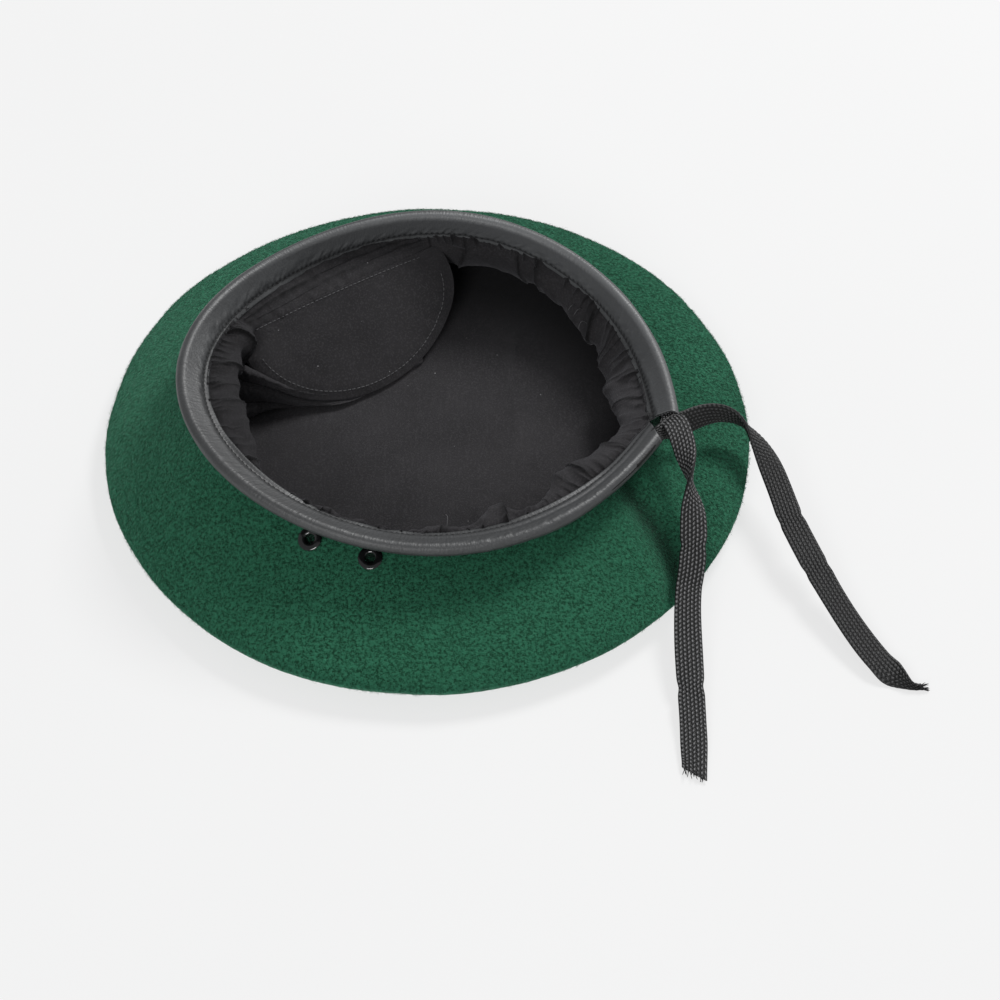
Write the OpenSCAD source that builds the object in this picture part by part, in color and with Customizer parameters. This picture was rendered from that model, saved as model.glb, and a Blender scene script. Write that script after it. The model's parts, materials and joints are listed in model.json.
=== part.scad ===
// Beret of felted wool with a leather band and a drawcord, lying crown down.
// The origin is the middle of the face that the crown rests on. +Z is up,
// -X is the front of the beret and +X the back, where the drawcord comes out.

/* [Wool shell] */
// Diameter of the round rim
rim_d = 270; // [266:1:276]
// Height of the rim's fold above the face that the crown rests on
rim_h = 10; // [9.5:0.5:11]
// Thickness of the felted wool
wool_t = 2.4; // [2:0.1:2.6]

/* [Opening] */
// Mean radius of the band's outer fold, which sets the head size
band_r = 93.9; // [93.5:0.1:94.3]
// Mean height of the band's outer fold
band_h = 48.7; // [48.4:0.1:49.2]
// How far the opening is longer than it is round, front to back
oval = 5.2; // [4.9:0.1:5.5]
// How far the opening is drawn out into an egg shape
egg = 1.5; // [1.2:0.1:1.8]
// How far the opening lies off the middle of the crown
shift = 2.7; // [2.4:0.1:3]
// How far the band rises towards the front
tilt = 7.9; // [7.6:0.1:8.2]
// How far the band waves up and down three times round the opening
wave = 2.2; // [1.9:0.1:2.5]

/* [Leather band] */
// Width of the folded band, from its stitched edge to its fold
band_w = 14; // [13.8:0.1:14.4]
// Thickness of the leather
leather_t = 0.8; // [0.7:0.05:0.8]
// Half of the band's thickness at the fold, round the drawcord
fold_half = 2.7; // [2.65:0.05:2.8]
// Diameter of the stitching thread
thread_d = 0.5; // [0.3:0.05:0.6]

/* [Lining] */
// Thickness of the lining cloth
lining_t = 0.6; // [0.5:0.05:0.6]
// How far the gathered lining puffs into the opening
puff = 9; // [8:0.5:10]

/* [Badge stiffener] */
// Radius of the half-round cover that is sewn over the stiffener
cover_r = 45; // [42:0.5:45.5]
// Width of the cover outside the stiffener, all round
cover_margin = 3; // [2.5:0.5:5]
// Thickness of the stiffener board
board_t = 1.2; // [0.8:0.1:1.6]

/* [Vents] */
// Diameter of the clear hole in each vent eyelet
vent_bore_d = 4.2; // [3.8:0.1:4.6]
// Diameter of each eyelet's flange
vent_flange_d = 9.8; // [9.2:0.1:10]

/* [Drawcord] */
// Width of the flat braided drawcord
cord_w = 11; // [9:0.5:11.5]
// Thickness of the drawcord
cord_t = 1.2; // [1:0.1:1.3]

/* [Hidden] */

$fn = 96;
ring_steps = 72;
rim_r = rim_d / 2;

// Directions, in degrees round +Z, in which the opening's shape peaks
oval_dir = 9;
egg_dir = 68;
shift_dir = 259;
tilt_dir = 151;
wave_dir = 85;

// The mouth is the pointed corner of the band, where the cord ends come out
mouth_dir = -9.3;
mouth_peak = 7.8;
mouth_spread = 15;
mouth_start = -9.8;
mouth_end = 344;

// The band leans up from level by this much. On the wearer's left it stands up, and on the right it lies back.
band_lean = 50;
side_lean = 34;
side_lean_dir = 87;
end_lean = 11;
end_lean_dir = 79;
edge_half = 1.9;

// ---- Curves that the pieces share, each in an upright plane through the +Z axis ----

function angle_between(a, b) = abs((a - b + 900) % 360 - 180);
function smooth(x) = let (c = max(0, min(1, x))) c * c * (3 - 2 * c);
function unit(v) = v / norm(v);
function reverse(list) = [for (i = [len(list) - 1 : -1 : 0]) list[i]];
function round_z(p, a) = [p[0] * cos(a), p[0] * sin(a), p[1]];
function bezier(p, t) = pow(1 - t, 3) * p[0] + 3 * pow(1 - t, 2) * t * p[1]
    + 3 * (1 - t) * t * t * p[2] + pow(t, 3) * p[3];
function bezier_dir(p, t) = pow(1 - t, 2) * (p[1] - p[0]) + 2 * (1 - t) * t * (p[2] - p[1])
    + t * t * (p[3] - p[2]);

function fold_r(a) = band_r + oval * cos(2 * (a - oval_dir)) + egg * cos(3 * (a - egg_dir))
    + shift * cos(a - shift_dir) + mouth_peak * exp(-angle_between(a, mouth_dir) / mouth_spread);
function fold_z(a) = band_h + tilt * cos(a - tilt_dir) + wave * cos(3 * (a - wave_dir));
function lean(a) = band_lean + side_lean * cos(a - side_lean_dir) + end_lean * cos(2 * (a - end_lean_dir));
function along_band(a) = [cos(lean(a)), sin(lean(a))];
function across_band(a) = [-sin(lean(a)), cos(lean(a))];

// A point of the band's section: s runs from the stitched edge to the fold,
// and n is the height above the middle of the band, towards the head
function band_at(a, s, n) = [fold_r(a), fold_z(a)] - (band_w - s) * along_band(a) + n * across_band(a);

// The wool and the lining are sewn in between the leather's two layers
seam_depth = 4.5;
seam_wool_t = 1.2;
seam_gap = 0.12;
wool_low = leather_t + seam_gap - edge_half;
lining_n = wool_low + seam_wool_t + seam_gap + lining_t / 2;

// The underside of the shell, from the rim (t = 0) up to the stitched edge (t = 1)
rim_rise = 7;
neck_pull = 14;
function underside(a) = [[rim_r, rim_h], [rim_r - 3, rim_h + rim_rise],
    band_at(a, -neck_pull, wool_low), band_at(a, 0, wool_low)];
function wool_normal(a, t) = let (d = unit(bezier_dir(underside(a), t))) [d[1], -d[0]];
function wool_out(a, t) = bezier(underside(a), t);
function wool_in(a, t) = wool_out(a, t) - (wool_t - (wool_t - seam_wool_t) * pow(t, 4)) * wool_normal(a, t);

// ---- Solid skins over sections that have their points in the same order ----

function side_faces(rows, columns, rows_close, columns_close) =
    [for (i = [0 : rows_close ? rows - 1 : rows - 2]) for (j = [0 : columns_close ? columns - 1 : columns - 2])
        let (k = (i + 1) % rows, l = (j + 1) % columns)
        each [[i * columns + j, i * columns + l, k * columns + l],
              [i * columns + j, k * columns + l, k * columns + j]]];

// A closed hoop: the last section joins the first
module hoop(sections) {
    polyhedron(points = [for (section = sections) each section],
        faces = side_faces(len(sections), len(sections[0]), true, true), convexity = 10);
}

// A run of closed sections, with a flat face at each end
module run(sections) {
    rows = len(sections);
    columns = len(sections[0]);
    polyhedron(points = [for (section = sections) each section],
        faces = concat(side_faces(rows, columns, false, true),
            [[for (j = [columns - 1 : -1 : 0]) j], [for (j = [0 : columns - 1]) (rows - 1) * columns + j]]),
        convexity = 10);
}

// A dish: open sections go round in a ring, whose first and last points bound two flat discs
module dish(sections) {
    rows = len(sections);
    columns = len(sections[0]);
    polyhedron(points = [for (section = sections) each section],
        faces = concat(side_faces(rows, columns, true, false),
            [[for (i = [0 : rows - 1]) i * columns], [for (i = [rows - 1 : -1 : 0]) i * columns + columns - 1]]),
        convexity = 10);
}

function ring_angles() = [for (i = [0 : ring_steps - 1]) i * 360 / ring_steps];
function band_angles(gap) = [for (i = [0 : ring_steps])
    mouth_start + gap + (mouth_end - mouth_start - 2 * gap) * i / ring_steps];
function round_band(a, section) = [for (p = section) round_z(band_at(a, p[0], p[1]), a)];

// ---- Wool shell ----

crown_curve_w = 24;
wool_steps = 9;
vent_t = 0.69;
vent_fit = 0.1;
barrel_t = 0.6;
vent_hole_d = vent_bore_d + 2 * (barrel_t + vent_fit);
vent_dirs = [239.4, 255.9];

// Puts a child on the wool's underside, with its +Z along the outward normal
module on_wool(dir, t) {
    up = wool_normal(dir, t);
    translate(round_z(wool_out(dir, t), dir))
        rotate([0, atan2(up[0], up[1]), dir])
            children();
}

function crown_curve(inset) = [for (q = [-90 : 22.5 : -22.5])
    [rim_r - crown_curve_w + (crown_curve_w - inset) * cos(q), rim_h + (rim_h - inset) * sin(q)]];

function shell_section(a) = concat(
    crown_curve(0),
    [for (i = [0 : wool_steps]) wool_out(a, i / wool_steps)],
    [band_at(a, seam_depth, wool_low), band_at(a, seam_depth, wool_low + seam_wool_t)],
    [for (i = [wool_steps : -1 : 0]) wool_in(a, i / wool_steps)],
    reverse(crown_curve(wool_t)));

module wool_shell() {
    color("#225a41") difference() {
        dish([for (a = ring_angles()) [for (p = shell_section(a)) round_z(p, a)]]);
        for (dir = vent_dirs)
            on_wool(dir, vent_t) cylinder(d = vent_hole_d, h = 4 * wool_t, center = true);
    }
}

// ---- Leather band, folded over the wool's edge and left open at the mouth ----

stitch_s = 2.3;
band_stops = [0, stitch_s, 5, 8];
function band_half(s) = edge_half + (fold_half - edge_half) * smooth(s / 8);
function band_outline(inset) = let (bend = band_w - fold_half, r = fold_half - inset) concat(
    [for (s = band_stops) [s, inset - band_half(s)]],
    [for (q = [-90 : 30 : 90]) [bend + r * cos(q), r * sin(q)]],
    [for (s = reverse(band_stops)) [s, band_half(s) - inset]]);

module leather_band() {
    section = concat(band_outline(0), reverse(band_outline(leather_t)));
    color("#55585b") run([for (a = band_angles(0)) round_band(a, section)]);
}

// A square run of thread along the band, at width s and height n
module band_line(s, n, gap) {
    d = thread_d / 2;
    run([for (a = band_angles(gap)) round_band(a, [[s - d, n - d], [s + d, n - d], [s + d, n + d], [s - d, n + d]])]);
}

thread_gap = 0.35;
module band_thread() {
    color("#26272a") for (side = [-1, 1])
        band_line(stitch_s, side * (band_half(stitch_s) + thread_gap + thread_d / 2), 1);
}

// Two close bars of thread that close the band's corner at the mouth
tack_w = 3;
module mouth_bar_tack() {
    corner = round_z(band_at(mouth_start, 1, band_half(1) + thread_d), mouth_start);
    color("#26272a") for (row = [0, 1])
        translate(corner + [0, 2 + 2 * row * thread_d, 1.2]) rotate([0, 90, mouth_dir])
            cylinder(d = thread_d, h = tack_w, center = true, $fn = 24);
}

// ---- Lining ----

crown_lining_r = 109;
lining_gap = 0.5;

module crown_lining() {
    color("#2b2a2c") translate([0, 0, wool_t + lining_gap]) cylinder(r = crown_lining_r, h = lining_t);
}

// The side lining hangs from the band, puffs inwards, and then follows the wool out and down to the crown's seam.
// It is cut away for the badge stiffener: by how much round it, from what depth and by what height.
lining_clear = 3;
lip_lift = 0.5;
badge_cut = [1.5, -8, 18];
function beside_wool(a, t) = wool_in(a, t) - lining_clear * wool_normal(a, t);
function lining_path(a) = let (
    top = band_at(a, -1, lining_n + lip_lift),
    low = beside_wool(a, 0.72),
    inward = [-1.3 * puff, 0]) concat(
        [band_at(a, seam_depth, lining_n)],
        [for (i = [0 : 5]) bezier([top, top + inward, low + inward, low], i / 5)],
        [for (t = [0.5, 0.3, 0.14]) beside_wool(a, t)],
        [[rim_r - 11, rim_h - 2.5], [crown_lining_r + 3, wool_t + 2]]);
function path_normal(path, i) = let (d = unit(path[min(i + 1, len(path) - 1)] - path[max(i - 1, 0)])) [d[1], -d[0]];
function lining_section(path) = concat(
    [for (i = [0 : len(path) - 1]) path[i] + lining_t / 2 * path_normal(path, i)],
    [for (i = [len(path) - 1 : -1 : 0]) path[i] - lining_t / 2 * path_normal(path, i)]);

module side_lining() {
    color("#2b2a2c") difference() {
        hoop([for (a = ring_angles()) [for (p = lining_section(lining_path(a))) round_z(p, a)]]);
        at_badge() half_disc(cover_r + badge_cut[0], badge_cut[1], badge_cut[2]);
    }
}

module crown_seam_thread() {
    color("#1d1c1e") translate([0, 0, wool_t + lining_gap + lining_t / 2])
        rotate_extrude() translate([crown_lining_r + 1, 0]) circle(d = thread_d, $fn = 16);
}

// ---- Badge stiffener, a half-round board behind a cloth cover at the front left ----

badge_dir = 124;
badge_reach = 71;
badge_z = 38;
badge_slope = 46;

module at_badge() {
    translate([badge_reach * cos(badge_dir), badge_reach * sin(badge_dir), badge_z])
        rotate([badge_slope, 0, badge_dir - 90])
            children();
}

// Half a disc of radius r below the chord, from height z up by h
module half_disc(r, z, h) {
    translate([0, 0, z]) linear_extrude(h) intersection() {
        circle(r);
        translate([-r, -r]) square([2 * r, r]);
    }
}

module badge_stiffener() {
    color("#3d3c3f") at_badge() translate([0, -cover_margin, -lining_gap])
        half_disc(cover_r - 2 * cover_margin, -board_t, board_t);
}

module stiffener_cover() {
    color("#323133") at_badge() half_disc(cover_r, 0, lining_t);
}

module cover_thread() {
    line_r = cover_r - cover_margin / 2;
    color("#1d1c1e") at_badge() translate([0, -cover_margin / 2, lining_t + thread_d / 2 + 0.05]) {
        rotate([0, 0, 180]) rotate_extrude(angle = 180) translate([line_r - 1, 0]) circle(d = thread_d, $fn = 16);
        rotate([0, 90, 0]) cylinder(d = thread_d, h = 2 * line_r - 2, center = true, $fn = 16);
    }
}

// ---- Vent eyelets: a grommet outside the wool and a washer inside it, each pair on one bore ----

flange_t = 0.8;
flange_lift = 0.7;
barrel_reach = 1.4;
washer_t = 0.5;
washer_gap = 0.6;

module vent_grommet(dir) {
    color("#17181a") on_wool(dir, vent_t) translate([0, 0, flange_lift]) rotate_extrude() {
        translate([vent_bore_d / 2, -wool_t - flange_lift - barrel_reach])
            square([barrel_t, wool_t + flange_lift + barrel_reach + flange_t / 4]);
        translate([(vent_bore_d + vent_flange_d) / 4, flange_t / 2])
            scale([(vent_flange_d - vent_bore_d) / 2 / flange_t, 1])
                circle(d = flange_t, $fn = 32);
    }
}

module vent_washer(dir) {
    color("#17181a") on_wool(dir, vent_t) translate([0, 0, -wool_t - washer_gap - washer_t]) difference() {
        cylinder(d = vent_flange_d, h = washer_t);
        translate([0, 0, -1]) cylinder(d = vent_hole_d, h = washer_t + 2);
    }
}

module vent_grommet_front() vent_grommet(vent_dirs[0]);
module vent_grommet_rear() vent_grommet(vent_dirs[1]);
module vent_washer_front() vent_washer(vent_dirs[0]);
module vent_washer_rear() vent_washer(vent_dirs[1]);

// ---- Drawcord: bunched in the band's channel, then two flat tails in links ----

channel_s = 9.4;
bunched_w = 6;
bunched_t = 1.8;
stub_w = 4.5;

module drawcord_run() {
    w = bunched_w / 2;
    t = bunched_t / 2;
    color("#161618") run([for (a = band_angles(1.5))
        round_band(a, [[channel_s - w, -t], [channel_s + w, -t], [channel_s + w, t], [channel_s - w, t]])]);
}

// Where each tail leaves the band, the joints along it and its tip
near_mouth = [99.9, -17.2, 39.8];
near_lift_at = [101.9, -23.1, 41.6];
near_bend_at = [105.7, -86.5, 16.6];
near_tip = [105, -168.6, 1.5];
far_mouth = [96.4, -25.7, 39];
far_lift_at = [107.3, -15.7, 35.3];
far_bend_at = [148.3, -50.8, 16];
far_tip = [197.4, -125.8, 1.4];
link_gap = 1;

// A link of flat cord along a bezier. Its width changes from start_w to end_w over the first quarter, and
// it turns over by 180 degrees past the first third when turns is true.
turn_start = 0.3;
turn_share = 0.5;
module cord_link(path, start_w, end_w, turns = false) {
    steps = 14;
    span = norm(path[3] - path[0]);
    color("#161618") run([for (i = [0 : steps]) let (
        t = link_gap / span + (1 - 2 * link_gap / span) * i / steps,
        dir = unit(bezier_dir(path, t)),
        flat = unit(cross([0, 0, 1], dir)),
        roll = turns ? 180 * smooth((t - turn_start) / turn_share) : 0,
        side = flat * cos(roll) + cross(dir, flat) * sin(roll),
        up = cross(dir, side),
        w = (start_w + (end_w - start_w) * smooth(4 * t)) / 2,
        p = bezier(path, t),
        h = cord_t / 2)
        [p - w * side - h * up, p + w * side - h * up, p + w * side + h * up, p - w * side + h * up]]);
}

function straight(from, to) = [for (i = [0 : 3]) from + (to - from) * i / 3];

module near_cord_stub() cord_link(straight(near_mouth, near_lift_at), stub_w, stub_w);
module near_cord_drape() cord_link([near_lift_at, [107, -33, 39], [110.5, -66, 25], near_bend_at], stub_w, cord_w, true);
module near_cord_end() cord_link([near_bend_at, [103, -106, 11.5], [106.5, -140, 3.5], near_tip], cord_w, cord_w);
module far_cord_stub() cord_link(straight(far_mouth, far_lift_at), stub_w, stub_w);
module far_cord_drape() cord_link([far_lift_at, [132, 3, 31.5], [139.5, -14, 19], far_bend_at], stub_w, cord_w, true);
module far_cord_end() cord_link([far_bend_at, [155.3, -68.8, 12.5], [180, -131, 2], far_tip], cord_w, cord_w);

wool_shell();
leather_band();
crown_lining();
side_lining();
badge_stiffener();
stiffener_cover();
drawcord_run();
near_cord_stub();
near_cord_drape();
near_cord_end();
far_cord_stub();
far_cord_drape();
far_cord_end();
vent_grommet_front();
vent_grommet_rear();
vent_washer_front();
vent_washer_rear();
band_thread();
cover_thread();
crown_seam_thread();
mouth_bar_tack();
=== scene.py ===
"""Looks of the beret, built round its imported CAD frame. Lengths are in millimetres until a mesh is made."""
import json
import math

import bpy
import numpy as np
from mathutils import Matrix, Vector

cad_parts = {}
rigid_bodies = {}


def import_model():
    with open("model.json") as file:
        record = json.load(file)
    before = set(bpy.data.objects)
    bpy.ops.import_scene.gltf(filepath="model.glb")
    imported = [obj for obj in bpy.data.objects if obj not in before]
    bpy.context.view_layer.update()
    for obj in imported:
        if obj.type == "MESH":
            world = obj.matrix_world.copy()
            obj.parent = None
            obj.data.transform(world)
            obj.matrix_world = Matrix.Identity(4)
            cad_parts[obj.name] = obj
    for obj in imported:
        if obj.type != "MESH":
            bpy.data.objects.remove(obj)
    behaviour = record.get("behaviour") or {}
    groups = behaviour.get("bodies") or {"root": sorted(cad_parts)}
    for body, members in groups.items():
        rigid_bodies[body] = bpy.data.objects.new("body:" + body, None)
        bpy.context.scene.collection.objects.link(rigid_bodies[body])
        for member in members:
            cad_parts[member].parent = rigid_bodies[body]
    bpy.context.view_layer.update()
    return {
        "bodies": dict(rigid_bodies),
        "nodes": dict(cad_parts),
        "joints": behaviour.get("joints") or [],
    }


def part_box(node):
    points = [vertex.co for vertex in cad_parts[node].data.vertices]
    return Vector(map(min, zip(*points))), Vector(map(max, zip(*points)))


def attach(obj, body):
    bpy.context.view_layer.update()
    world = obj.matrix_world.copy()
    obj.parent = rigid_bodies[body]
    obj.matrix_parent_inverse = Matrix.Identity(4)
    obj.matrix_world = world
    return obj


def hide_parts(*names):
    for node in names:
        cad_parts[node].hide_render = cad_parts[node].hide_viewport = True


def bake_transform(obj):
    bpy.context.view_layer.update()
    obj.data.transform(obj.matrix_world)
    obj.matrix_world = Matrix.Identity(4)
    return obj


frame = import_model()
NODES = frame["nodes"]
JOINTS = {joint["name"]: joint for joint in frame["joints"]}
MM = 0.001


# ---- Small maths helpers; every angle is in degrees and every curve is evaluated on whole arrays ----

def cosd(a):
    return np.cos(np.radians(a))


def sind(a):
    return np.sin(np.radians(a))


def smooth(x):
    x = np.clip(x, 0, 1)
    return x * x * (3 - 2 * x)


def bell(x, centre, width):
    return np.exp(-((x - centre) / width) ** 2)


def turn_between(a, b):
    """Unsigned angle between two directions."""
    return np.abs((a - b + 540) % 360 - 180)


def unit(v):
    return v / np.maximum(np.linalg.norm(v, axis=-1, keepdims=True), 1e-9)


def upright(r, z, a):
    """Points at radius r and height z in the upright planes at directions a."""
    r, z, a = np.broadcast_arrays(r, z, a)
    return np.stack([r * cosd(a), r * sind(a), z], -1)


def bezier(p, t):
    p = [np.asarray(q, float) for q in p]
    t = np.asarray(t, float)
    return (1 - t) ** 3 * p[0] + 3 * (1 - t) ** 2 * t * p[1] + 3 * (1 - t) * t * t * p[2] + t**3 * p[3]


def lumps(u, v, nu, nv, seed):
    """Smooth random heights from -1 to 1: nu cells round u in 0..1, which wraps, and nv cells along v in 0..1."""
    table = np.random.default_rng(seed).uniform(-1, 1, (nu, nv + 2))
    x, y = np.broadcast_arrays(np.asarray(u) % 1 * nu, np.clip(v, 0, 1) * nv)
    i, j = np.floor(x).astype(int) % nu, np.floor(y).astype(int)
    fx, fy = smooth(x - np.floor(x)), smooth(y - j)
    k = (i + 1) % nu
    low = table[i, j] * (1 - fx) + table[k, j] * fx
    high = table[i, j + 1] * (1 - fx) + table[k, j + 1] * fx
    return low * (1 - fy) + high * fy


def around(angles, values, a):
    """Smooth curve through values at rising angles that cover one turn, read at directions a."""
    x = np.concatenate([angles[-2:] - 360, angles, angles[:2] + 360])
    y = np.concatenate([values[-2:], values, values[:2]])
    a = (np.asarray(a, float) - angles[0]) % 360 + angles[0]
    k = np.clip(np.searchsorted(x, a, side="right") - 1, 1, len(x) - 3)
    slope = np.gradient(y, x)
    span = x[k + 1] - x[k]
    t = (a - x[k]) / span
    return ((1 + 2 * t) * (1 - t) ** 2 * y[k] + t * (1 - t) ** 2 * span * slope[k]
            + t * t * (3 - 2 * t) * y[k + 1] - t * t * (1 - t) * span * slope[k + 1])


# ---- What the frame says: the band's path, the rim, the patch's plane and the cord's path ----

def points_of(node):
    co = np.array([v.co for v in NODES[node].data.vertices], float) / MM
    return np.unique(np.round(co, 4), axis=0)


def measure_band():
    """The band's stitched edge, lean and width round the opening, from the CAD band's upright sections."""
    co = points_of("leather_band")
    direction = np.degrees(np.arctan2(co[:, 1], co[:, 0]))
    turned = np.sort(direction)
    widest = np.argmax(np.diff(turned))
    start = turned[widest + 1]
    direction = (direction - start + 0.5) % 360 + start - 0.5
    order = np.argsort(direction)
    sections = np.split(order, np.nonzero(np.diff(direction[order]) > 1)[0] + 1)
    rows = []
    for members in sections:
        section = co[members]
        a = direction[members].mean()
        flat = np.stack([np.hypot(section[:, 0], section[:, 1]), section[:, 2]], 1)
        middle = flat.mean(0)
        along = np.linalg.svd(flat - middle)[2][0]
        along *= np.sign(along[1])
        s = (flat - middle) @ along
        n = (flat - middle) @ np.array([-along[1], along[0]])
        edge = middle + s.min() * along
        rows.append([a, *edge, math.degrees(math.atan2(along[1], along[0])), np.ptp(s), np.ptp(n) / 2,
                     n[s < s.min() + 0.1].max()])
    return np.array(rows)


BAND = measure_band()
MOUTH_START, MOUTH_END = BAND[0, 0], BAND[-1, 0]
BAND_W, FOLD_HALF, EDGE_HALF = BAND[:, 4].mean(), BAND[:, 5].mean(), BAND[:, 6].mean()
LEATHER_T = 0.8
SEAM_DEPTH = 4.5
STITCH_S = 2.3
RIM_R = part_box("wool_shell")[1].x / MM
RIM_H = 10.0
RIM_RISE = 7.0
NECK_PULL = 14.0
WOOL_T = 2.4


def band_at(a, s, n):
    """Radius and height of the band's section: s from its stitched edge to its fold, n towards the head."""
    lean = around(BAND[:, 0], BAND[:, 3], a)
    r = around(BAND[:, 0], BAND[:, 1], a) + s * cosd(lean) - n * sind(lean)
    z = around(BAND[:, 0], BAND[:, 2], a) + s * sind(lean) + n * cosd(lean)
    return r, z


WOOL_N = LEATHER_T + 0.12 - EDGE_HALF


def underside(a, t):
    """The wool from its rim (t = 0) up to the band's stitched edge (t = 1), as radius and height."""
    neck, edge = band_at(a, -NECK_PULL, WOOL_N), band_at(a, 0, WOOL_N)
    return (bezier([RIM_R, RIM_R - 3, neck[0], edge[0]], t),
            bezier([RIM_H, RIM_H + RIM_RISE, neck[1], edge[1]], t))


# ---- Meshes ----

def add_mesh(name, points, faces, material, body="beret", replaces=(), slot=None, colours=None, uvs=None):
    """A piece from points in millimetres. colours is one number per point, which its material reads."""
    mesh = bpy.data.meshes.new(name)
    points = np.asarray(points, float).reshape(-1, 3) * MM
    faces = np.asarray(faces)
    size = faces.shape[1]
    mesh.vertices.add(len(points))
    mesh.vertices.foreach_set("co", points.ravel())
    mesh.loops.add(faces.size)
    mesh.loops.foreach_set("vertex_index", faces.ravel())
    mesh.polygons.add(len(faces))
    mesh.polygons.foreach_set("loop_start", np.arange(0, faces.size, size))
    if colours is not None:
        mesh.attributes.new("shade", "FLOAT", "POINT").data.foreach_set("value", np.asarray(colours, float).ravel())
    if uvs is not None:
        layer = mesh.uv_layers.new(name="UVMap")
        layer.data.foreach_set("uv", (np.asarray(uvs, float).reshape(-1, 2) * MM)[faces.ravel()].ravel())
    mesh.update(calc_edges=True)
    mesh.validate()
    mesh.polygons.foreach_set("use_smooth", np.ones(len(mesh.polygons), bool))
    mesh.materials.append(material)
    obj = bpy.data.objects.new(name, mesh)
    bpy.context.scene.collection.objects.link(obj)
    if body:
        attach(obj, body)
    if replaces:
        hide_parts(*replaces)
    return obj


def grid_faces(rows, columns, wrap_rows=False, wrap_columns=False, first=0):
    i = np.arange(rows if wrap_rows else rows - 1)
    j = np.arange(columns if wrap_columns else columns - 1)
    i, j = np.meshgrid(i, j, indexing="ij")
    k, l = (i + 1) % rows, (j + 1) % columns
    quads = np.stack([i * columns + j, i * columns + l, k * columns + l, k * columns + j], -1)
    return quads.reshape(-1, 4) + first


def cap_faces(ring, flip):
    """Quads that close an even ring of point numbers by pairing its two halves."""
    n = len(ring)
    quads = [[ring[i], ring[i + 1], ring[n - 2 - i], ring[n - 1 - i]] for i in range(n // 2 - 1)]
    return np.array([q[::-1] for q in quads] if flip else quads)


def add_tubes(name, paths, radius, sides, material, **rest):
    """Round threads along paths (count, steps, 3), each closed at both ends by a narrow tip."""
    paths = np.asarray(paths, float)
    count, steps, _ = paths.shape
    along = unit(np.gradient(paths, axis=1))
    up = np.where(np.abs(along[..., 2:]) > 0.9, [1.0, 0, 0], [0, 0, 1.0])
    side = unit(np.cross(along, up))
    lift = np.cross(side, along)
    taper = np.ones(steps)
    taper[[0, -1]] = 0.25
    q = np.arange(sides) * 360 / sides
    ring = side[..., None, :] * cosd(q)[:, None] + lift[..., None, :] * sind(q)[:, None]
    points = paths[..., None, :] + radius * taper[:, None, None] * ring
    block = steps * sides
    faces = []
    for k in range(count):
        faces.append(grid_faces(steps, sides, wrap_columns=True, first=k * block))
        faces.append(cap_faces(np.arange(sides) + k * block, False))
        faces.append(cap_faces(np.arange(sides) + k * block + block - sides, True))
    return add_mesh(name, points, np.concatenate(faces), material, **rest)


# ---- Materials ----

class Nodes:
    """Short names for building one material's node tree."""

    def __init__(self, name):
        self.material = bpy.data.materials.new(name)
        self.material.use_nodes = True
        self.tree = self.material.node_tree
        self.shader = self.tree.nodes["Principled BSDF"]

    def add(self, kind, inputs=(), **settings):
        node = self.tree.nodes.new("ShaderNode" + kind)
        for key, value in settings.items():
            setattr(node, key, value)
        for key, value in dict(inputs).items():
            self.put(value, node.inputs[key])
        return node

    def put(self, value, socket):
        if isinstance(value, bpy.types.NodeSocket):
            self.tree.links.new(value, socket)
        else:
            socket.default_value = value

    def place(self):
        return self.add("TexCoord").outputs["Object"]

    def noise(self, scale, detail=2.0, stretch=None, where=None):
        where = where or self.place()
        if stretch:
            where = self.add("Mapping", {"Vector": where, "Scale": stretch}).outputs[0]
        return self.add("TexNoise", {"Vector": where, "Scale": scale, "Detail": detail}).outputs["Fac"]

    def ramp(self, value, low, high, out_low=0.0, out_high=1.0):
        return self.add("MapRange", {"Value": value, "From Min": low, "From Max": high, "To Min": out_low,
                                     "To Max": out_high}).outputs[0]

    def math(self, how, a, b=0.0):
        return self.add("Math", {0: a, 1: b}, operation=how).outputs[0]

    def mix(self, share, a, b):
        node = self.add("Mix", data_type="RGBA")
        self.put(share, node.inputs["Factor"])
        self.put(a if isinstance(a, bpy.types.NodeSocket) else (*a, 1), node.inputs["A"])
        self.put(b if isinstance(b, bpy.types.NodeSocket) else (*b, 1), node.inputs["B"])
        return node.outputs["Result"]

    def bump(self, height, distance, strength=1.0):
        return self.add("Bump", {"Height": height, "Distance": distance, "Strength": strength}).outputs[0]

    def shade(self):
        return self.add("Attribute", attribute_name="shade").outputs["Fac"]

    def finish(self, **inputs):
        for key, value in inputs.items():
            socket = self.shader.inputs[key.replace("_", " ")]
            self.put((*value, 1) if isinstance(value, tuple) and len(value) == 3 else value, socket)
        return self.material


def felt_material():
    m = Nodes("felted_wool")
    clumps = m.noise(820, 3)
    broad = m.noise(18, 2)
    fibres = m.noise(1900, 2, stretch=(1, 1, 1.4))
    colour = m.mix(m.ramp(clumps, 0.40, 0.62), (0.0024, 0.026, 0.0115), (0.0245, 0.138, 0.076))
    colour = m.mix(m.ramp(fibres, 0.48, 0.70, 0, 0.75), colour, (0.040, 0.185, 0.108))
    colour = m.mix(m.ramp(broad, 0.3, 0.7, 0, 0.25), colour, (0.010, 0.070, 0.036))
    # Painted shade from the shell's shade attribute: in the eyelet pits, along the fold by the near tail and in the gap
    # behind the mouth.
    colour = m.mix(m.shade(), colour, (0.0006, 0.0030, 0.0016))
    height = m.math("ADD", m.math("MULTIPLY", clumps, 1.0), m.math("MULTIPLY", fibres, 0.5))
    return m.finish(Base_Color=colour, Roughness=0.95, Normal=m.bump(height, 0.0013, 0.9),
                    Sheen_Weight=0.35, Sheen_Roughness=0.45, Sheen_Tint=(0.25, 0.6, 0.42),
                    Specular_IOR_Level=0.15)


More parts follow.
